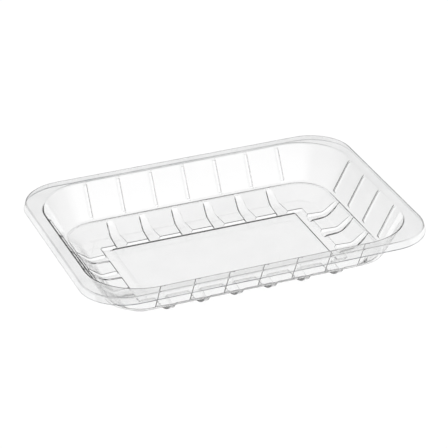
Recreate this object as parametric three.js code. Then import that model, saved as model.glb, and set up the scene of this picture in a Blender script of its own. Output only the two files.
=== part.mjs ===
// A clear, empty meat tray, thermoformed from one sheet of plastic, in millimetres.
// It stands on Z = 0 with the origin under its middle: X along its length, Y along its width.
//
// The tray is one thin shell. Its upper face is a stack of closed rows of points, from the trim
// edge of the rim over the flange, down the wall and across the base to the panel in the middle.
// The lower face is the upper one moved through the sheet, and a narrow strip joins the two
// along the trim edge.
import * as THREE from "three";

// Overall size and sheet
const LENGTH = 220;
const WIDTH = 160;
const HEIGHT = 31;
const SHEET = 0.4;

// Rim: a flat flange with a short skirt turned down round it
const TRIM_RADIUS = 28.5;
const SKIRT_DROP = 4.3;
const SKIRT_LEAN = 1.4;
const RIM_ROUND = 1.2;
const FLANGE_WIDTH = 6.2;

// Mouth and wall. The wall's corners are cones about upright axes, one in each corner.
const MOUTH_RADIUS = 35;
const MOUTH_ROUND = 1.6;
const WALL_DRAFT = THREE.MathUtils.degToRad(28.5);

// Step: a narrow ledge at the foot of the wall. It rises a little to its edge, which is set in
// from the mouth.
const STEP_INSET = 15.2;
const STEP_HEIGHT = 9.1;
const LEDGE_RISE = THREE.MathUtils.degToRad(6);
const LEDGE_ROUND = 1.5;
const STEP_ROUND = 1.6;

// Base: raised pads divided by grooves, a channel round the panel, and the panel, level with the pads.
// From SHIFT_START_INSET on, the pads of the long sides reach further in.
const PAD_HEIGHT = 2.1;
const PAD_INSET = 24;
const PAD_CREASE_ROUND = 5;
const SHIFT_START_INSET = 29;
const PAD_END_INSET = 34.3;
const LONG_SIDE_SHIFT = 3;
const PAD_END_WIDTH = 1;
const PANEL_FOOT_INSET = 39.7;
const PANEL_SLOPE_WIDTH = 1.4;

// Ribs stand in from the upper wall, and grooves run out between them below the step. A groove
// widens from the step to the pads' end, and it curves from the slope of the pads into the bed.
const RIBS_ON_LONG_SIDE = 7;
const RIBS_ON_SHORT_SIDE = 4;
const RIB_PITCH_LONG = 21.7;
const RIB_PITCH_SHORT = 22.2;
const RIB_HEIGHT = 1;
const RIB_FOOT_WIDTH = 3.8;
const RIB_CREST_WIDTH = 1.2;
const RIB_TOP_TAPER = 1.5;
const RIB_FOOT_TAPER = 1.2;
const GROOVE_STEP_WIDTH = 4.8;
const GROOVE_END_WIDTH = 8.4;
const BED_STEP_WIDTH = 2.6;
const BED_END_WIDTH = 5.4;
const GROOVE_SLOPE = THREE.MathUtils.degToRad(62);
const COVE_RADIUS = 14;

// Fineness
const CORNER_STEPS = 10;
const ROUND_STEPS = 2;
const COVE_STEPS = 6;

const QUARTER_TURN = Math.PI / 2;
const SIDES = 4;
const FACES_TOLERANCE = 1e-6;

// A rounded rectangle about the origin. Its straight runs lie between the corners' centres.
function outline(halfLength, halfWidth, radius) {
  return { centreX: halfLength - radius, centreY: halfWidth - radius, radius };
}

const mouthHalfLength = LENGTH / 2 - SKIRT_LEAN - FLANGE_WIDTH;
const mouthHalfWidth = WIDTH / 2 - SKIRT_LEAN - FLANGE_WIDTH;

// The outline set in from the mouth. Within MOUTH_RADIUS the corners keep their centres; further
// in they are sharp.
function insetFromMouth(inset) {
  const radius = Math.max(0, MOUTH_RADIUS - inset);
  return outline(mouthHalfLength - inset, mouthHalfWidth - inset, radius);
}

// How far an inset lies between two others, 0 to 1
function shareBetween(inset, start, end) {
  return THREE.MathUtils.clamp((inset - start) / (end - start), 0, 1);
}

// As insetFromMouth, with the pads' further reach on the long sides
function insetOnBase(inset) {
  const shape = insetFromMouth(inset);
  const reach = LONG_SIDE_SHIFT * shareBetween(inset, SHIFT_START_INSET, PAD_END_INSET);
  return { ...shape, centreY: shape.centreY - reach };
}

// A place runs from 0 to 8 round an outline. Each side takes 2: 1 along its straight run and 1
// round the corner after it, starting with the side at +X and going anticlockwise.
function placeOn(side, along) {
  return 2 * side + (along + 1) / 2;
}

// The point of an outline at a place, and the direction out of it
function pointOn({ centreX, centreY, radius }, place) {
  const side = Math.floor(place / 2);
  const within = place - 2 * side;
  const turn = Math.max(0, within - 1) * QUARTER_TURN;
  const along = 2 * Math.min(within, 1) - 1;
  const [across, run] = side % 2 ? [centreY, centreX] : [centreX, centreY];
  const outward = new THREE.Vector3(Math.cos(turn), Math.sin(turn), 0);
  const point = outward.clone().multiplyScalar(radius).add(new THREE.Vector3(across, along * run, 0));
  const up = new THREE.Vector3(0, 0, 1);
  return {
    point: point.applyAxisAngle(up, side * QUARTER_TURN),
    outward: outward.applyAxisAngle(up, side * QUARTER_TURN),
  };
}

// Columns: the places where a row has a point, and how much of a relief each one has, 0 to 1
function plainColumns() {
  const columns = [];
  for (let side = 0; side < SIDES; side += 1) {
    columns.push({ place: 2 * side, relief: 0 });
    for (let step = 0; step < CORNER_STEPS; step += 1) {
      columns.push({ place: 2 * side + 1 + step / CORNER_STEPS, relief: 0 });
    }
  }
  return columns;
}

// Columns on an outline with a relief, such as ribs, at even pitches along each side
function reliefColumns({ centreX, centreY }, countOn, footWidth, crestWidth) {
  const columns = plainColumns();
  for (let side = 0; side < SIDES; side += 1) {
    const longSide = side % 2 === 1;
    const count = countOn(longSide);
    const pitch = longSide ? RIB_PITCH_LONG : RIB_PITCH_SHORT;
    const run = longSide ? centreX : centreY;
    for (let index = 0; index < count; index += 1) {
      const centre = (index - (count - 1) / 2) * pitch;
      for (const [offset, relief] of [
        [-footWidth / 2, 0],
        [-crestWidth / 2, 1],
        [crestWidth / 2, 1],
        [footWidth / 2, 0],
      ]) {
        columns.push({ place: placeOn(side, (centre + offset) / run), relief });
      }
    }
  }
  return columns.sort((a, b) => a.place - b.place);
}

const ribsOn = (longSide) => (longSide ? RIBS_ON_LONG_SIDE : RIBS_ON_SHORT_SIDE);
const groovesOn = (longSide) => ribsOn(longSide) - 1;
const plain = plainColumns();
const ribbed = reliefColumns(insetFromMouth(0), ribsOn, RIB_FOOT_WIDTH, RIB_CREST_WIDTH);
const sharp = plain.filter(({ place }) => place % 2 === 0);

function groovedColumns(inset) {
  const share = shareBetween(inset, STEP_INSET, PAD_END_INSET);
  const topWidth = THREE.MathUtils.lerp(GROOVE_STEP_WIDTH, GROOVE_END_WIDTH, share);
  const bedWidth = THREE.MathUtils.lerp(BED_STEP_WIDTH, BED_END_WIDTH, share);
  return reliefColumns(insetOnBase(inset), groovesOn, topWidth, bedWidth);
}

// A profile is drawn in the plane across the wall: x is the inset from the mouth, y the height.
// This rounds the corner at `corner` between two straight stretches, as points along an arc.
function roundedCorner(before, corner, after, radius, steps = ROUND_STEPS) {
  const back = before.clone().sub(corner).normalize();
  const ahead = after.clone().sub(corner).normalize();
  const halfAngle = Math.acos(THREE.MathUtils.clamp(back.dot(ahead), -1, 1)) / 2;
  const start = corner.clone().addScaledVector(back, radius / Math.tan(halfAngle));
  const end = corner.clone().addScaledVector(ahead, radius / Math.tan(halfAngle));
  const middle = back.clone().add(ahead).normalize();
  const centre = corner.clone().addScaledVector(middle, radius / Math.sin(halfAngle));
  const points = [];
  for (let step = 0; step <= steps; step += 1) {
    const towards = start.clone().sub(centre).lerp(end.clone().sub(centre), step / steps);
    points.push(towards.setLength(radius).add(centre));
  }
  return points;
}

// Rows of the upper face
const rows = [];

function addRow(columns, pointAt) {
  rows.push({ columns, points: columns.map(pointAt) });
}

// A row of even height along an outline
function addLevelRow(shape, height, columns = plain) {
  addRow(columns, ({ place }) => pointOn(shape, place).point.setZ(height));
}

// A row of the wall at a profile point. Ribs stand out of it, square to the wall.
function addWallRow(at, ribHeight = 0, columns = plain) {
  addRow(columns, ({ place, relief }) => {
    const { point, outward } = pointOn(insetFromMouth(at.x), place);
    point.addScaledVector(outward, -relief * ribHeight * Math.cos(WALL_DRAFT));
    return point.setZ(at.y + relief * ribHeight * Math.sin(WALL_DRAFT));
  });
}

// The height of a profile at an inset
function heightAt(profile, inset) {
  const index = Math.max(1, profile.findIndex((at) => at.x >= inset));
  const [before, after] = [profile[index - 1], profile[index]];
  return THREE.MathUtils.mapLinear(inset, before.x, after.x, before.y, after.y);
}

// A row of the base, between the pads' profile and the grooves' profile
function addGroovedRow(inset, pads, grooves) {
  const [onPad, inGroove] = [heightAt(pads, inset), heightAt(grooves, inset)];
  addRow(groovedColumns(inset), ({ place, relief }) => {
    return pointOn(insetOnBase(inset), place).point.setZ(THREE.MathUtils.lerp(onPad, inGroove, relief));
  });
}

// Rim: trim edge, skirt, rounded top edge, flange
const skirtFoot = new THREE.Vector2(-FLANGE_WIDTH - SKIRT_LEAN, HEIGHT - SKIRT_DROP);
const rimEdge = new THREE.Vector2(-FLANGE_WIDTH, HEIGHT);
const mouthEdge = new THREE.Vector2(0, HEIGHT);
for (const at of [skirtFoot, ...roundedCorner(skirtFoot, rimEdge, mouthEdge, RIM_ROUND)]) {
  const setIn = at.x - skirtFoot.x;
  addLevelRow(outline(LENGTH / 2 - setIn, WIDTH / 2 - setIn, TRIM_RADIUS - setIn), at.y);
}

// Wall: it meets the flange and the ledge in rounded corners
const stepEdge = new THREE.Vector2(STEP_INSET, STEP_HEIGHT);
const wallSlope = new THREE.Vector2(Math.sin(WALL_DRAFT), -Math.cos(WALL_DRAFT));
const wallTop = new THREE.Vector2(MOUTH_ROUND * Math.tan((QUARTER_TURN - WALL_DRAFT) / 2), HEIGHT);
const ledgeRise = Math.tan(LEDGE_RISE);
const wallDrop = HEIGHT - STEP_HEIGHT + (STEP_INSET - wallTop.x) * ledgeRise;
const wallLength = wallDrop / (wallSlope.x * ledgeRise - wallSlope.y);
const wallFoot = wallTop.clone().addScaledVector(wallSlope, wallLength);
const mouthRound = roundedCorner(mouthEdge, wallTop, wallFoot, MOUTH_ROUND, ROUND_STEPS + 1);
const footRound = roundedCorner(wallTop, wallFoot, stepEdge, LEDGE_ROUND);
const ribTop = mouthRound.pop();
const ribFoot = footRound.shift();
mouthRound.forEach((at) => addWallRow(at));
addWallRow(ribTop, 0, ribbed);
addWallRow(ribTop.clone().addScaledVector(wallSlope, RIB_TOP_TAPER), RIB_HEIGHT, ribbed);
addWallRow(ribFoot.clone().addScaledVector(wallSlope, -RIB_FOOT_TAPER), RIB_HEIGHT, ribbed);
addWallRow(ribFoot, 0, ribbed);
footRound.forEach((at) => addWallRow(at));

// Step: the ledge's rounded edge, from which the pads slope down to a rounded crease
const padFoot = new THREE.Vector2(PAD_INSET, PAD_HEIGHT);
const stepRound = roundedCorner(wallFoot, stepEdge, padFoot, STEP_ROUND);
const padTop = stepRound.pop();
stepRound.forEach((at) => addWallRow(at));

// Base: pads that slope down, run level and end at the channel, and between them the grooves,
// whose bed is level with the channel's
const bedHeight = SHEET;
const padEnd = new THREE.Vector2(PAD_END_INSET, PAD_HEIGHT);
const channelOuter = new THREE.Vector2(PAD_END_INSET + PAD_END_WIDTH, bedHeight);
const grooveRun = (STEP_HEIGHT - bedHeight) / Math.tan(GROOVE_SLOPE);
const grooveFoot = new THREE.Vector2(STEP_INSET + grooveRun, bedHeight);
const crease = roundedCorner(stepEdge, padFoot, padEnd, PAD_CREASE_ROUND);
const cove = roundedCorner(stepEdge, grooveFoot, channelOuter, COVE_RADIUS, COVE_STEPS);
const pads = [padTop, ...crease, padEnd, channelOuter];
const grooves = [padTop, ...cove, channelOuter];
const baseInsets = [...pads.slice(0, -1), ...cove].map((at) => at.x).sort((a, b) => a - b);
baseInsets.forEach((inset) => addGroovedRow(inset, pads, grooves));

// Channel and panel: their corners are sharp
const sharpGrooved = groovedColumns(channelOuter.x).filter(({ place }) => place % 2 < 1);
addLevelRow(insetOnBase(channelOuter.x), bedHeight, sharpGrooved);
addLevelRow(insetFromMouth(PANEL_FOOT_INSET), bedHeight, sharp);
addLevelRow(insetFromMouth(PANEL_FOOT_INSET + PANEL_SLOPE_WIDTH), PAD_HEIGHT, sharp);

// Triangles of the upper face, as indices into its points. Two rows are joined by walking round
// both and always taking the nearer next place.
function joinRows(outer, inner) {
  const triangles = [];
  const nextPlace = ({ columns }, index) => columns[index + 1]?.place ?? 2 * SIDES;
  let outerIndex = 0;
  let innerIndex = 0;
  while (outerIndex < outer.columns.length || innerIndex < inner.columns.length) {
    const outerNow = outer.first + (outerIndex % outer.columns.length);
    const innerNow = inner.first + (innerIndex % inner.columns.length);
    const outerLeft = outerIndex < outer.columns.length;
    const innerLeft = innerIndex < inner.columns.length;
    if (outerLeft && (!innerLeft || nextPlace(outer, outerIndex) <= nextPlace(inner, innerIndex))) {
      outerIndex += 1;
      triangles.push([outerNow, outer.first + (outerIndex % outer.columns.length), innerNow]);
    } else {
      innerIndex += 1;
      triangles.push([outerNow, inner.first + (innerIndex % inner.columns.length), innerNow]);
    }
  }
  return triangles;
}

function upperFace() {
  const points = [];
  for (const row of rows) {
    row.first = points.length;
    points.push(...row.points);
  }
  const triangles = rows.slice(1).flatMap((row, index) => joinRows(rows[index], row));
  const [first, second, third, fourth] = sharp.map((_, index) => rows.at(-1).first + index);
  triangles.push([first, second, third], [first, third, fourth]);
  return { points, triangles };
}

// The way each point moves through the sheet, so that every face round it moves by the sheet's
// thickness: the least squares answer to its faces' planes. A level face moves by just that.
function throughSheet(points, triangles) {
  const normals = points.map(() => []);
  for (const corners of triangles) {
    const face = new THREE.Triangle(...corners.map((corner) => points[corner]));
    const normal = face.getNormal(new THREE.Vector3());
    corners.forEach((corner) => normals[corner].push(normal));
  }
  return normals.map((around) => {
    const mean = around.reduce((sum, normal) => sum.add(normal), new THREE.Vector3()).normalize();
    const sums = new Array(9).fill(0);
    const wanted = mean.clone().multiplyScalar(FACES_TOLERANCE * SHEET);
    for (const normal of around) {
      const [x, y, z] = normal.toArray();
      [x * x, x * y, x * z, y * x, y * y, y * z, z * x, z * y, z * z].forEach((product, index) => {
        sums[index] += product;
      });
      wanted.addScaledVector(normal, SHEET);
    }
    for (const diagonal of [0, 4, 8]) {
      sums[diagonal] += FACES_TOLERANCE;
    }
    const move = wanted.applyMatrix3(new THREE.Matrix3(...sums).invert());
    const onLevelFace = around.some((normal) => normal.z > 1 - FACES_TOLERANCE);
    return onLevelFace ? move.setZ(SHEET) : move;
  });
}

// The closed shell: upper face, lower face turned over, and the strip along the trim edge
function shellGeometry() {
  const { points, triangles } = upperFace();
  const moves = throughSheet(points, triangles);
  const lower = points.map((point, index) => point.clone().sub(moves[index]));
  const faces = [...triangles];
  for (const [a, b, c] of triangles) {
    faces.push([c + points.length, b + points.length, a + points.length]);
  }
  const trimCount = rows[0].columns.length;
  for (let index = 0; index < trimCount; index += 1) {
    const next = (index + 1) % trimCount;
    const [low, nextLow] = [points.length + index, points.length + next];
    faces.push([next, index, low], [next, low, nextLow]);
  }
  const geometry = new THREE.BufferGeometry();
  geometry.setFromPoints([...points, ...lower]);
  geometry.setIndex(faces.flat());
  geometry.computeVertexNormals();
  return geometry;
}

const clearPlastic = new THREE.MeshStandardMaterial({
  color: 0xf2f5f6,
  roughness: 0.06,
  metalness: 0,
  transparent: true,
  opacity: 0.3,
});

const tray = new THREE.Mesh(shellGeometry(), clearPlastic);
tray.name = "tray";

const group = new THREE.Group();
group.add(tray);

export default group;
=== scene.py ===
"""The looks of a clear, empty, thermoformed meat tray, on a plain white studio floor.

The tray is one thin shell of clear plastic. It is drawn here as fine meshwork with true rounds,
over the same named sizes as the solid it stands for. Lengths are in metres.

The upper face is a stack of closed rows of points, from the trim edge of the rim over the flange,
down the wall and across the base to the panel in the middle. The lower face is the upper one moved
through the sheet, and a round strip joins the two along the trim edge.
"""
import math
from collections import namedtuple

import bpy
import numpy as np
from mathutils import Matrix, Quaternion, Vector


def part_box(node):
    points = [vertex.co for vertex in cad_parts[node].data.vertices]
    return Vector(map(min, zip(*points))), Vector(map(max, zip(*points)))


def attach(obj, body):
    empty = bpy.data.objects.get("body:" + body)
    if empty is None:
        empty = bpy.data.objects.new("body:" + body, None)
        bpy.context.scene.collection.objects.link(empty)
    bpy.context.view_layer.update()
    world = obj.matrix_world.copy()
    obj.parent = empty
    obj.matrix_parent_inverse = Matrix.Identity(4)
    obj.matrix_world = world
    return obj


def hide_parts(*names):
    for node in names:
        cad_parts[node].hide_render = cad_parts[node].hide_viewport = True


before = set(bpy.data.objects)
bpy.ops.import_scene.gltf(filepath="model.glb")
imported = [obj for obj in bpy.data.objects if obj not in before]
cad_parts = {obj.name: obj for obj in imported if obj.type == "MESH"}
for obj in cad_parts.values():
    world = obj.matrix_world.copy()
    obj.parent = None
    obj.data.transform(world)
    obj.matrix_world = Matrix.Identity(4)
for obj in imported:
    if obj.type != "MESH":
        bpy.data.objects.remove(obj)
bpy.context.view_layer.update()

tray_low, tray_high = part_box("tray")

MM = 0.001
QUARTER_TURN = math.pi / 2
SIDES = 4

# Overall size, from the frame
LENGTH = tray_high.x - tray_low.x
WIDTH = tray_high.y - tray_low.y
HEIGHT = tray_high.z - tray_low.z
SHEET = 0.4 * MM

# Rim
TRIM_RADIUS = 28.5 * MM
SKIRT_DROP = 4.3 * MM
SKIRT_LEAN = 1.4 * MM
RIM_ROUND = 1.2 * MM
FLANGE_WIDTH = 6.2 * MM

# Mouth and wall
MOUTH_RADIUS = 35 * MM
MOUTH_ROUND = 1.6 * MM
WALL_DRAFT = math.radians(28.5)
MOUTH_HALF_LENGTH = LENGTH / 2 - SKIRT_LEAN - FLANGE_WIDTH
MOUTH_HALF_WIDTH = WIDTH / 2 - SKIRT_LEAN - FLANGE_WIDTH

# Step
STEP_INSET = 15.2 * MM
STEP_HEIGHT = 9.1 * MM
LEDGE_SLOPE = math.radians(-6)
LEDGE_ROUND = 1.5 * MM
STEP_ROUND = 1.6 * MM

# Base. From SHIFT_START_INSET on, the pads of the long sides reach further in.
PAD_HEIGHT = 2.1 * MM
PAD_INSET = 24.0 * MM
PAD_CREASE_ROUND = 5.0 * MM
PAD_END_INSET = 34.3 * MM
PAD_END_WIDTH = 1.0 * MM
PAD_END_ROUND = 0.4 * MM
LONG_SIDE_SHIFT = 3.0 * MM
SHIFT_START_INSET = 29 * MM
PANEL_FOOT_INSET = 39.7 * MM
PANEL_SLOPE_WIDTH = 1.4 * MM
PANEL_ROUND = 0.5 * MM
SHARP_CORNER_RADIUS = 0.7 * MM

# Ribs and grooves. A pair of widths is for the step and for the pads' end.
RIBS_ON_LONG_SIDE = 7
RIBS_ON_SHORT_SIDE = 4
RIB_PITCH_LONG = 21.7 * MM
RIB_PITCH_SHORT = 22.2 * MM
RIB_HEIGHT = 1.0 * MM
RIB_FOOT_WIDTH = 3.8 * MM
RIB_CREST_WIDTH = 1.2 * MM
RIB_TOP_END = 1.5 * MM
RIB_FOOT_END = 1.2 * MM
GROOVE_TOP_WIDTHS = 4.8 * MM, 8.4 * MM
GROOVE_BED_WIDTHS = 2.6 * MM, 5.4 * MM
GROOVE_SLOPE = math.radians(62)
COVE_RADIUS = 14 * MM

# Rounds along the edges of a rib or groove, as shares of its side
RIB_ROUND_SHARE = 0.3
BED_ROUND_SHARE = 0.3
PAD_ROUND_SHARE = 0.3
STEP_ROUND_SHARE = 0.9

# Fineness
CORNER_STEPS = 28
SHARP_CORNER_STEPS = 6
ROUND_STEPS = 6
COVE_STEPS = 24
RAMP_STEPS = 4
RIB_END_STEPS = 8
TRIM_STEPS = 8
SAME_PLACE = 1e-4
SHORTEST_SIDE = SHEET / 100
INSET_DIGITS = 7

# Values by side are for the right, back, left and near sides, one for each or one for each end.

# Painted dark lines, in place of the refraction that darkens bends seen edge-on. Bends are the turn
# of the surface for each metre. The weights, set side by side as the light falls, say how strongly
# a band shows its bends, or a relief its sides.
SOFT_BEND = 250
SHARP_BEND = 1000
RELIEF_LINE_FROM = 0.3
PLAIN_LINES = 1, 1, 1, 1
MOUTH_LINES = 5, 0, 12, 0.4
RIB_LINES = 3, 2, 3, 3
STEP_LINES = 0, 0.15, 2, 5
BASE_LINES = 1, 1, 2, 2
CREASE_LINES = 0, 0, 0, 12
GROOVE_LINES = 12, 1.5, 40, 1
PANEL_LINES = 3, 3, 3, 3
NO_LINES = 0, 0, 0, 0

# Painted shade: how grey the sheet is painted. Partly it stands for thicker sheet at the rim; the
# rest, by side and band, is painted shade as the light falls, and a painted shadow in the crease.
CUT_EDGE_SHADE = 0.5, 0.5, 0.6, 1, 0.5, 0.4, 0.75, 0.75
SKIRT_FOOT_SHADE = 0.04, 0.04, 0.04, 0.7, 0.12, 0.12, 0.06, 0.06
SKIRT_SHADE = 0.04, 0.03, 0.12, 0.06
RIM_SHADE = 0.12, 0.12, 0.2, 0.06
FLANGE_SHADE = 0.1, 0.06, 0.09, 0.04
WALL_TOP_SHADE = 0.05, 0.02, 0.02, 0.02
SLOPE_SHADE = 0.03, 0.03, 0.03, 0.03
CREASE_SHADE = 0.01, 0.05, 0.03, 0.01
PANEL_SHADE = 0.035, 0.035, 0.035, 0.035
CLEAR = 0, 0, 0, 0

# The plastic. Clouds make it hazy and mottle its painted shade, and ripples dent it.
PLASTIC_IOR = 1.57
CLOUD_SCALE = 55
CLOUD_DETAIL = 3
CLOUD_RANGE = 0.3, 0.7
ROUGHNESS_RANGE = 0.01, 0.06
MOTTLE_RANGE = 0.6, 1.4
RIPPLE_SCALE = 320
RIPPLE_STRENGTH = 0.15
RIPPLE_DEPTH = 0.05 * MM
FACING_BLEND = 0.5
# The clear sheet's colour, and the one its painted shade greys it towards
CLEAR_TINT = 1, 1, 1, 1
PAINTED_SHADE_TINT = 0, 0.02, 0.04, 1
# Painted dark lines where bends are seen edge-on
EDGE_ON_RANGE = 0.5, 0.9
DARKEST_PAINTED_LINE = 0.95
PAINTED_LINE_COLOUR = 0.03, 0.03, 0.03, 1

# The studio. What the plastic reflects fades from bright behind the camera to dark in front of it.
FLOOR_HALF_SIZE = 6.0
FLOOR_COLOUR = 0.95, 0.95, 0.95, 1
WORLD_STRENGTH = 1.08
REFLECTED_FROM_Y = -0.75, -0.45
REFLECTED_STRENGTH = 0.85, 0.05
FILL_PLACE = 0.96, 2.46, 1.41
FILL_SIZE = 1.6, 1.0
FILL_BRIGHTNESS = 0.4

# The camera, at the photo's angle
VIEW_AZIMUTH = math.radians(21.18)
VIEW_ELEVATION = math.radians(28.11)
VIEW_ROLL = math.radians(-0.97)
VIEW_DISTANCE = 1.416
VIEW_TARGET = Vector((-0.0052, -0.0159, HEIGHT))
VIEW_FOCAL_PX = 2335.7
VIEW_CLIP_END = 100
IMAGE_PX = 448
SENSOR_WIDTH_MM = 36


# Outlines: rounded rectangles about the origin

def outline(half_length, half_width, radius):
    """A rounded rectangle, as half the length of its straight runs and its corner radius."""
    return half_length - radius, half_width - radius, radius


def inset_from_trim(inset):
    return outline(LENGTH / 2 - inset, WIDTH / 2 - inset, TRIM_RADIUS - inset)


def inset_from_mouth(inset):
    """The outline set in from the mouth. Its corners keep their centres until they are sharp."""
    radius = max(SHARP_CORNER_RADIUS, MOUTH_RADIUS - inset)
    return outline(MOUTH_HALF_LENGTH - inset, MOUTH_HALF_WIDTH - inset, radius)


def inset_on_base(inset):
    """As inset_from_mouth, but on the long sides the pads reach further in."""
    half_length, half_width, radius = inset_from_mouth(inset)
    shifts = [0, LONG_SIDE_SHIFT, LONG_SIDE_SHIFT, 0]
    stations = [SHIFT_START_INSET, PAD_END_INSET, PAD_END_INSET + PAD_END_WIDTH, PANEL_FOOT_INSET]
    return half_length, half_width - np.interp(inset, stations, shifts), radius


def on_outline(shape, places):
    """Points and outward directions at places 0 to 8.

    A side takes 1 for its run and 1 for its corner.
    """
    centre_x, centre_y, radius = shape
    side = np.floor(places / 2)
    within = places - 2 * side
    turn = np.maximum(0, within - 1) * QUARTER_TURN
    along = 2 * np.minimum(within, 1) - 1
    long_side = side % 2 == 1
    across = np.where(long_side, centre_y, centre_x)
    run = np.where(long_side, centre_x, centre_y)
    out = np.stack([np.cos(turn), np.sin(turn)], -1)
    point = radius * out + np.stack([across, along * run], -1)
    cos, sin = np.cos(side * QUARTER_TURN), np.sin(side * QUARTER_TURN)

    def turned_to_side(vectors):
        x, y = vectors.T
        return np.stack([cos * x - sin * y, sin * x + cos * y, 0 * cos], -1)

    return turned_to_side(point), turned_to_side(out)


# Columns: the places where a row has a point, and how much of a relief each one has

def ramp(share, low_round, high_round):
    """The rise of a relief's side, 0 to 1. The rounds at its two ends are given as shares of it."""
    low_rise = share ** 2 / low_round / 2
    high_drop = (1 - share) ** 2 / high_round / 2
    full = 1 - (low_round + high_round) / 2
    above_low = np.where(share > 1 - high_round, full - high_drop, share - low_round / 2)
    return np.where(share < low_round, low_rise, above_low) / full


def plain_columns(corner_steps=CORNER_STEPS):
    corner = 1 + np.arange(corner_steps) / corner_steps
    by_sides = [np.concatenate([[2 * side], 2 * side + corner]) for side in range(SIDES)]
    places = np.concatenate(by_sides)
    return places, np.zeros_like(places)


def relief_columns(shape, fewer, foot_width, crest_width, low_round, high_round):
    """Plain columns, and finer ones across each rib or groove.

    Fewer is how many fewer of them a side has than it has ribs.
    """
    centre_x, centre_y, _ = shape
    places, reliefs = plain_columns()
    steps = np.linspace(0, 1, RAMP_STEPS + 1)
    shares = np.concatenate([low_round * steps, 1 - high_round * steps[::-1]])
    half_widths = (foot_width - shares * (foot_width - crest_width)) / 2
    offsets = np.concatenate([-half_widths, [0], half_widths[::-1]])
    rise = ramp(shares, low_round, high_round)
    relief = np.concatenate([rise, [1], rise[::-1]])
    for side in range(SIDES):
        long_side = side % 2 == 1
        count = (RIBS_ON_LONG_SIDE if long_side else RIBS_ON_SHORT_SIDE) - fewer
        pitch = RIB_PITCH_LONG if long_side else RIB_PITCH_SHORT
        run = centre_x if long_side else centre_y
        for index in range(count):
            centre = (index - (count - 1) / 2) * pitch
            places = np.append(places, 2 * side + ((centre + offsets) / run + 1) / 2)
            reliefs = np.append(reliefs, relief)
    order = np.argsort(places)
    return places[order], reliefs[order]


def rib_columns(shape):
    rounds = RIB_ROUND_SHARE, RIB_ROUND_SHARE
    return relief_columns(shape, 0, RIB_FOOT_WIDTH, RIB_CREST_WIDTH, *rounds)


def groove_columns(shape, inset):
    """Grooves are narrower at the step, where their edges are soft."""
    stations = [STEP_INSET, PAD_END_INSET]
    top_width = np.interp(inset, stations, GROOVE_TOP_WIDTHS)
    bed_width = np.interp(inset, stations, GROOVE_BED_WIDTHS)
    soft = np.interp(inset, [STEP_INSET, PAD_INSET], [STEP_ROUND_SHARE, PAD_ROUND_SHARE])
    return relief_columns(shape, 1, top_width, bed_width, soft, min(BED_ROUND_SHARE, 1 - soft))


# The profile: points across the wall, x the inset from the mouth and y the height

def rounded_corner(before, corner, after, radius, steps=ROUND_STEPS):
    """Points along the arc that rounds the corner between two straight stretches."""
    back = (before - corner).normalized()
    ahead = (after - corner).normalized()
    half_angle = back.angle(ahead) / 2
    start = corner + back * (radius / math.tan(half_angle))
    end = corner + ahead * (radius / math.tan(half_angle))
    centre = corner + (back + ahead).normalized() * (radius / math.sin(half_angle))
    towards = [(start - centre).slerp(end - centre, step / steps) for step in range(steps + 1)]
    return [centre + v.normalized() * radius for v in towards]


skirt_foot = Vector((-FLANGE_WIDTH - SKIRT_LEAN, HEIGHT - SKIRT_DROP))
rim_edge = Vector((-FLANGE_WIDTH, HEIGHT))
mouth_edge = Vector((0, HEIGHT))
wall_slope = Vector((math.sin(WALL_DRAFT), -math.cos(WALL_DRAFT)))
wall_top = Vector((MOUTH_ROUND * math.tan((QUARTER_TURN - WALL_DRAFT) / 2), HEIGHT))
ledge_rise = math.tan(LEDGE_SLOPE)
wall_drop = HEIGHT - STEP_HEIGHT - (STEP_INSET - wall_top.x) * ledge_rise
wall_foot = wall_top + wall_slope * (wall_drop / (-wall_slope.y - wall_slope.x * ledge_rise))
step_edge = Vector((STEP_INSET, STEP_HEIGHT))
pad_foot = Vector((PAD_INSET, PAD_HEIGHT))
pad_end = Vector((PAD_END_INSET, PAD_HEIGHT))
groove_foot = Vector((STEP_INSET + (STEP_HEIGHT - SHEET) / math.tan(GROOVE_SLOPE), SHEET))
channel_outer = Vector((PAD_END_INSET + PAD_END_WIDTH, SHEET))
panel_foot = Vector((PANEL_FOOT_INSET, SHEET))
panel_edge = Vector((PANEL_FOOT_INSET + PANEL_SLOPE_WIDTH, PAD_HEIGHT))


# Rows of the upper face, each with its painted shade. A row's band reaches from it to the next row.
# It has weights for the painted dark lines of its bends and of its reliefs' sides, and may count as
# bent all over.

Band = namedtuple("Band", "lines relief_lines bent", defaults=[NO_LINES, False])
Row = namedtuple("Row", "places points reliefs shades band")
rows = []


def by_side(places, values):
    """Values by side at places, blended in between."""
    at_ends = np.repeat(values, 2 * SIDES // len(values))
    return np.interp(places, range(2 * SIDES + 1), [*at_ends, values[0]])


def add_row(shape, columns, plain_point, relief_point, shade, band):
    """A row on an outline, with its points moved from the plain profile towards the relief's."""
    places, reliefs = columns
    points, outward = on_outline(shape, places)
    points -= outward * (reliefs * (relief_point.x - plain_point.x))[:, None]
    points[:, 2] = plain_point.y + reliefs * (relief_point.y - plain_point.y)
    # The painted shade fades out towards the ribs' crests and the grooves' beds
    shades = by_side(places, shade) * (1 - reliefs)
    rows.append(Row(places, points, reliefs, shades, band))


def add_plain_row(shape, at, shade, band=Band(PLAIN_LINES), corner_steps=CORNER_STEPS):
    add_row(shape, plain_columns(corner_steps), at, at, shade, band)


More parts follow.
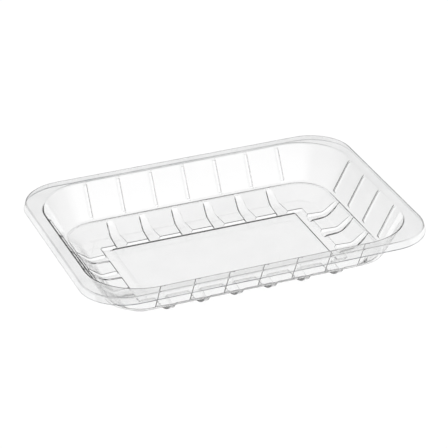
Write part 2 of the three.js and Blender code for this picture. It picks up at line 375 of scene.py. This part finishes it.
def add_rim():
    """The skirt, from the middle of its cut edge, and the rounded edge of the flange."""
    up_skirt = (rim_edge - skirt_foot).normalized()
    trim = skirt_foot + up_skirt * (SHEET / 2)
    rim_round = rounded_corner(skirt_foot, rim_edge, mouth_edge, RIM_ROUND)
    # Painted shade, darkest at the cut edge and the foot of the skirt, then over the rim and flange
    rim = [
        (trim, CUT_EDGE_SHADE),
        (trim + up_skirt * SHEET, SKIRT_FOOT_SHADE),
        (trim + up_skirt * 2 * SHEET, SKIRT_SHADE),
        (rim_round[0], SKIRT_SHADE),
        *((at, RIM_SHADE) for at in rim_round[1:-1]),
        (rim_round[-1], FLANGE_SHADE),
    ]
    for at, shade in rim:
        add_plain_row(inset_from_trim(at.x - skirt_foot.x), at, shade)


def add_rib_end(start, reach, shares, shade, relief_lines):
    """Rows where the ribs rise from the wall, at shares of a reach down it, or up if negative."""
    out_of_wall = Vector((-wall_slope.y, wall_slope.x)) * RIB_HEIGHT
    for share in shares:
        at = start + wall_slope * (reach * share)
        rise = float(ramp(np.float64(share), RIB_ROUND_SHARE, RIB_ROUND_SHARE))
        shape = inset_from_mouth(at.x)
        band = Band(PLAIN_LINES, relief_lines)
        add_row(shape, rib_columns(shape), at, at + out_of_wall * rise, shade, band)


def add_wall():
    """The rounded mouth, the wall with its ribs, and the round at its foot."""
    mouth_round = rounded_corner(mouth_edge, wall_top, wall_foot, MOUTH_ROUND)
    foot_round = rounded_corner(wall_top, wall_foot, step_edge, LEDGE_ROUND)
    for at in mouth_round[:-1]:
        add_plain_row(inset_from_mouth(at.x), at, FLANGE_SHADE, Band(MOUTH_LINES))
    shares = [step / RIB_END_STEPS for step in range(RIB_END_STEPS + 1)]
    add_rib_end(mouth_round[-1], RIB_TOP_END, shares, WALL_TOP_SHADE, RIB_LINES)
    add_rib_end(foot_round[0], -RIB_FOOT_END, shares[::-1], CLEAR, NO_LINES)
    for at in foot_round[1:]:
        add_plain_row(inset_from_mouth(at.x), at, CLEAR, Band(STEP_LINES))


def add_base():
    """The step and the pads, with the grooves between them, as far as the channel."""
    step_round = rounded_corner(wall_foot, step_edge, pad_foot, STEP_ROUND)
    crease = rounded_corner(step_edge, pad_foot, pad_end, PAD_CREASE_ROUND)
    pads = [
        *step_round,
        *crease,
        *rounded_corner(pad_foot, pad_end, channel_outer, PAD_END_ROUND),
        *rounded_corner(pad_end, channel_outer, panel_foot, PAD_END_ROUND),
    ]
    grooves = [
        *rounded_corner(wall_foot, step_edge, groove_foot, STEP_ROUND),
        *rounded_corner(step_edge, groove_foot, channel_outer, COVE_RADIUS, COVE_STEPS),
        Vector((pads[-1].x, SHEET)),
    ]
    shade_stations = [STEP_INSET, crease[0].x, crease[-1].x]
    insets = sorted({round(at.x, INSET_DIGITS) for at in [*pads, *grooves]})
    for inset in insets:
        shape = inset_on_base(inset)
        on_pad = Vector((inset, np.interp(inset, *zip(*pads))))
        in_groove = Vector((inset, np.interp(inset, *zip(*grooves))))
        in_crease = crease[0].x <= inset < crease[-1].x
        lines = CREASE_LINES if in_crease else BASE_LINES
        if inset < step_round[-1].x:
            lines = STEP_LINES
        relief_lines = NO_LINES if inset == insets[-1] else GROOVE_LINES
        # Painted shade on the slope, deepening to a painted shadow in the crease, clear beyond it
        side_shades = zip(SLOPE_SHADE, CREASE_SHADE, CLEAR)
        shade = [np.interp(inset, shade_stations, shades) for shades in side_shades]
        band = Band(lines, relief_lines, in_crease)
        add_row(shape, groove_columns(shape, inset), on_pad, in_groove, shade, band)


def add_panel():
    """The channel's inner edge and the panel's slope and edge, with nearly sharp corners."""
    across_panel = panel_edge + Vector((1, 0))
    foot_round = rounded_corner(channel_outer, panel_foot, panel_edge, PANEL_ROUND)
    edge_round = rounded_corner(panel_foot, panel_edge, across_panel, PANEL_ROUND)
    band = Band(PANEL_LINES, bent=True)
    for points, shade in [(foot_round, CLEAR), (edge_round, PANEL_SHADE)]:
        for at in points:
            add_plain_row(inset_from_mouth(at.x), at, shade, band, SHARP_CORNER_STEPS)


# The shell

def join_rows(outer_places, inner_places, outer_first, inner_first):
    """Faces between two rows, walking round both and always taking the nearer next place."""
    outer_count, inner_count = len(outer_places), len(inner_places)
    outer_next = np.append(outer_places[1:], 2 * SIDES)
    inner_next = np.append(inner_places[1:], 2 * SIDES)
    faces = []
    i = j = 0
    while i < outer_count or j < inner_count:
        a = outer_first + i % outer_count
        b = inner_first + j % inner_count
        ahead_a = outer_first + (i + 1) % outer_count
        ahead_b = inner_first + (j + 1) % inner_count
        both_left = i < outer_count and j < inner_count
        level = both_left and abs(outer_next[i] - inner_next[j]) < SAME_PLACE
        if outer_count == inner_count or level:
            faces.append((a, ahead_a, ahead_b, b))
            i, j = i + 1, j + 1
        elif i < outer_count and (j >= inner_count or outer_next[i] <= inner_next[j]):
            faces.append((a, ahead_a, b))
            i += 1
        else:
            faces.append((a, ahead_b, b))
            j += 1
    return faces


def upper_face():
    """The points and faces of the upper face, and the band of each face."""
    points = np.concatenate([row.points for row in rows])
    firsts = np.cumsum([0] + [len(row.places) for row in rows])
    faces, bands = [], []
    for outer, inner, outer_first, inner_first in zip(rows, rows[1:], firsts, firsts[1:]):
        joined = join_rows(outer.places, inner.places, outer_first, inner_first)
        faces += joined
        bands += [outer.band] * len(joined)
    faces.append(tuple(range(firsts[-2], firsts[-1])))
    bands.append(Band(NO_LINES))
    return points, faces, bands


def area_normals(points, faces):
    """Normals at the points, each face counted by its area."""
    normals = np.zeros_like(points)
    for face in faces:
        corners = points[list(face)]
        middle = corners.mean(0)
        normals[list(face)] += np.cross(corners - middle, np.roll(corners, -1, 0) - middle).sum(0)
    return normals / np.linalg.norm(normals, axis=1)[:, None]


def bends(points, faces, normals):
    """How sharply each face is bent: the most its normal turns along a side, for each metre."""
    found = np.zeros(len(faces))
    sizes = np.array([len(face) for face in faces])
    for size in set(sizes):
        corners = np.array([face for face in faces if len(face) == size])
        turned = np.linalg.norm(normals[corners] - normals[np.roll(corners, 1, 1)], axis=2)
        length = np.linalg.norm(points[corners] - points[np.roll(corners, 1, 1)], axis=2)
        found[sizes == size] = (turned / np.maximum(length, SHORTEST_SIDE)).max(1)
    return found


def painted_line_strengths(faces, bands, bent):
    """How strongly each face of the upper side takes the painted dark shade where seen edge-on."""
    places = np.concatenate([row.places for row in rows])
    reliefs = np.concatenate([row.reliefs for row in rows])
    sharpness = np.clip((bent - SOFT_BEND) / (SHARP_BEND - SOFT_BEND), 0, 1)
    strengths = []
    for face, band, sharp in zip(faces, bands, sharpness):
        across = reliefs[list(face)]
        in_relief = np.ptp(across) > 0 and across.mean() > RELIEF_LINE_FROM
        place = places[face[0]]
        strength = max(sharp, band.bent and not in_relief) * by_side(place, band.lines)
        if in_relief:
            strength = max(strength, by_side(place, band.relief_lines))
        strengths.append(float(strength))
    return strengths


def trim_edge(points, normals, trim_count):
    """Rows of points round the cut edge, half a circle from the upper face to the lower one."""
    ahead = points[:trim_count] - points[trim_count:2 * trim_count]
    ahead /= np.linalg.norm(ahead, axis=1)[:, None]
    cap = []
    for step in range(1, TRIM_STEPS):
        angle = math.pi * step / TRIM_STEPS
        out = normals[:trim_count] * (math.cos(angle) - 1) + ahead * math.sin(angle)
        cap.append(points[:trim_count] + out * SHEET / 2)
    return cap


def shell_mesh():
    upper, upper_faces, bands = upper_face()
    normals = area_normals(upper, upper_faces)
    count, trim_count = len(upper), len(rows[0].places)
    cap = trim_edge(upper, normals, trim_count)
    points = np.concatenate([upper, upper - normals * SHEET, *cap])
    faces = upper_faces + [tuple(corner + count for corner in face[::-1]) for face in upper_faces]
    starts = [0, *(2 * count + step * trim_count for step in range(len(cap))), count]
    for first, second in zip(starts, starts[1:]):
        for index in range(trim_count):
            turn = (index + 1) % trim_count
            faces.append((first + turn, first + index, second + index, second + turn))
    mesh = bpy.data.meshes.new("tray_shell")
    mesh.from_pydata(points.tolist(), [], [tuple(int(corner) for corner in face) for face in faces])
    mesh.shade_smooth()

    strengths = painted_line_strengths(upper_faces, bands, bends(upper, upper_faces, normals))
    strengths = strengths * 2 + [0.0] * (len(faces) - 2 * len(strengths))
    shades = np.concatenate([row.shades for row in rows])
    shades = np.concatenate([shades, shades, *[shades[:trim_count]] * len(cap)])
    # The painted dark lines, by face, and the painted shade, by point
    mesh.attributes.new("line", "FLOAT", "FACE").data.foreach_set("value", strengths)
    mesh.attributes.new("shade", "FLOAT", "POINT").data.foreach_set("value", shades)
    mesh.normals_split_custom_set_from_vertices(area_normals(points, faces).tolist())
    return mesh


# Materials

def add_node(tree, kind, inputs=None, **settings):
    """A shader node. Its inputs are linked to the sockets given, or set to the values given."""
    node = tree.nodes.new("ShaderNode" + kind)
    for name, value in settings.items():
        setattr(node, name, value)
    fill_inputs(tree, node, inputs or {})
    return node


def fill_inputs(tree, node, inputs):
    for name, value in inputs.items():
        if isinstance(value, bpy.types.NodeSocket):
            tree.links.new(value, node.inputs[name])
        else:
            node.inputs[name].default_value = value


def ranged(tree, value, before, after, interpolation="LINEAR"):
    """The value moved from one range to another."""
    limits = dict(zip(["From Min", "From Max", "To Min", "To Max"], [*before, *after]))
    inputs = {"Value": value, **limits}
    return add_node(tree, "MapRange", inputs, interpolation_type=interpolation).outputs["Result"]


def maths(tree, operation, first, second, **settings):
    inputs = {0: first, 1: second}
    return add_node(tree, "Math", inputs, operation=operation, **settings).outputs[0]


def clear_plastic():
    """Clear sheet, greyed by its painted shade, and painted dark on its lines where seen edge-on.
    """
    material = bpy.data.materials.new("clear_plastic")
    material.use_nodes = True
    tree = material.node_tree

    place = add_node(tree, "TexCoord").outputs["Object"]
    cloud_inputs = {"Vector": place, "Scale": CLOUD_SCALE, "Detail": CLOUD_DETAIL}
    clouds = add_node(tree, "TexNoise", cloud_inputs).outputs["Fac"]
    ripples = add_node(tree, "TexNoise", {"Vector": place, "Scale": RIPPLE_SCALE}).outputs["Fac"]
    ripple_inputs = {"Height": ripples, "Strength": RIPPLE_STRENGTH, "Distance": RIPPLE_DEPTH}
    shade = add_node(tree, "Attribute", attribute_name="shade").outputs["Fac"]
    mottle = ranged(tree, clouds, CLOUD_RANGE, MOTTLE_RANGE)
    painted_greyness = maths(tree, "MULTIPLY", shade, mottle, use_clamp=True)
    # The painted shade greys the sheet's colour, mottled by the clouds
    tints = {"Factor": painted_greyness, "A": CLEAR_TINT, "B": PAINTED_SHADE_TINT}
    sheet = tree.nodes["Principled BSDF"]
    fill_inputs(tree, sheet, {
        "Transmission Weight": 1.0,
        "IOR": PLASTIC_IOR,
        "Base Color": add_node(tree, "Mix", tints, data_type="RGBA").outputs["Result"],
        "Roughness": ranged(tree, clouds, (0, 1), ROUGHNESS_RANGE),
        "Normal": add_node(tree, "Bump", ripple_inputs).outputs["Normal"],
    })

    # The painted dark lines: a dark matt shader mixed in on weighted faces seen edge-on
    facing = add_node(tree, "LayerWeight", {"Blend": FACING_BLEND}).outputs["Facing"]
    edge_on = ranged(tree, facing, EDGE_ON_RANGE, (0, 1), "SMOOTHSTEP")
    line = add_node(tree, "Attribute", attribute_name="line").outputs["Fac"]
    seen = maths(tree, "MINIMUM", maths(tree, "MULTIPLY", line, edge_on), DARKEST_PAINTED_LINE)
    dark = add_node(tree, "BsdfDiffuse", {"Color": PAINTED_LINE_COLOUR}).outputs[0]
    with_painted_lines = add_node(tree, "MixShader", {0: seen, 1: sheet.outputs[0], 2: dark}).outputs[0]

    # The floor is lit as though the sheet weren't there
    path = add_node(tree, "LightPath").outputs
    passing = maths(tree, "MAXIMUM", path["Is Shadow Ray"], path["Is Diffuse Ray"])
    gone = add_node(tree, "BsdfTransparent").outputs[0]
    surface = add_node(tree, "MixShader", {0: passing, 1: with_painted_lines, 2: gone}).outputs[0]
    fill_inputs(tree, tree.nodes["Material Output"], {"Surface": surface})
    return material


add_rim()
add_wall()
add_base()
add_panel()
tray = bpy.data.objects.new("tray_shell", shell_mesh())
bpy.context.scene.collection.objects.link(tray)
tray.data.materials.append(clear_plastic())
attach(tray, "root")
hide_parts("tray")


# Floor, light and camera

def add_floor():
    low, high = -FLOOR_HALF_SIZE, FLOOR_HALF_SIZE
    corners = [(low, low, 0), (high, low, 0), (high, high, 0), (low, high, 0)]
    mesh = bpy.data.meshes.new("floor")
    mesh.from_pydata(corners, [], [(0, 1, 2, 3)])
    material = bpy.data.materials.new("floor")
    material.use_nodes = True
    matt = {"Base Color": FLOOR_COLOUR, "Roughness": 1.0}
    fill_inputs(material.node_tree, material.node_tree.nodes["Principled BSDF"], matt)
    mesh.materials.append(material)
    plane = bpy.data.objects.new("floor", mesh)
    bpy.context.scene.collection.objects.link(plane)


def add_world():
    """White all round, but for what the plastic reflects."""
    world = bpy.data.worlds.new("studio")
    world.use_nodes = True
    tree = world.node_tree
    direction = add_node(tree, "TexCoord").outputs["Generated"]
    towards_y = add_node(tree, "SeparateXYZ", {0: direction}).outputs["Y"]
    reflected = ranged(tree, towards_y, REFLECTED_FROM_Y, REFLECTED_STRENGTH)
    glossy = add_node(tree, "LightPath").outputs["Is Glossy Ray"]
    strength = ranged(tree, glossy, (0, 1), (WORLD_STRENGTH, reflected))
    fill_inputs(tree, tree.nodes["Background"], {"Color": (1, 1, 1, 1), "Strength": strength})
    bpy.context.scene.world = world


def add_far_fill():
    """A softbox behind the tray, turned to it."""
    lamp = bpy.data.lights.new("far_fill", "AREA")
    lamp.shape = "RECTANGLE"
    width, height = FILL_SIZE
    lamp.size, lamp.size_y = width, height
    lamp.energy = FILL_BRIGHTNESS * math.pi * width * height
    light = bpy.data.objects.new("far_fill", lamp)
    light.location = FILL_PLACE
    light.rotation_euler = (-Vector(FILL_PLACE)).to_track_quat("-Z", "Y").to_euler()
    bpy.context.scene.collection.objects.link(light)


def add_camera():
    data = bpy.data.cameras.new("camera")
    data.sensor_width = SENSOR_WIDTH_MM
    data.lens = SENSOR_WIDTH_MM * VIEW_FOCAL_PX / IMAGE_PX
    data.clip_end = VIEW_CLIP_END
    camera = bpy.data.objects.new("camera", data)
    bpy.context.scene.collection.objects.link(camera)
    level = math.cos(VIEW_ELEVATION)
    sine, cosine = math.sin(VIEW_AZIMUTH), math.cos(VIEW_AZIMUTH)
    look = Vector((sine * level, cosine * level, -math.sin(VIEW_ELEVATION)))
    rolled = Quaternion((0, 0, 1), VIEW_ROLL)
    camera.rotation_mode = "QUATERNION"
    camera.rotation_quaternion = look.to_track_quat("-Z", "Y") @ rolled
    camera.location = VIEW_TARGET - look * VIEW_DISTANCE
    bpy.context.scene.camera = camera


add_floor()
add_world()
add_far_fill()
add_camera()
bpy.context.scene.view_settings.view_transform = "Standard"
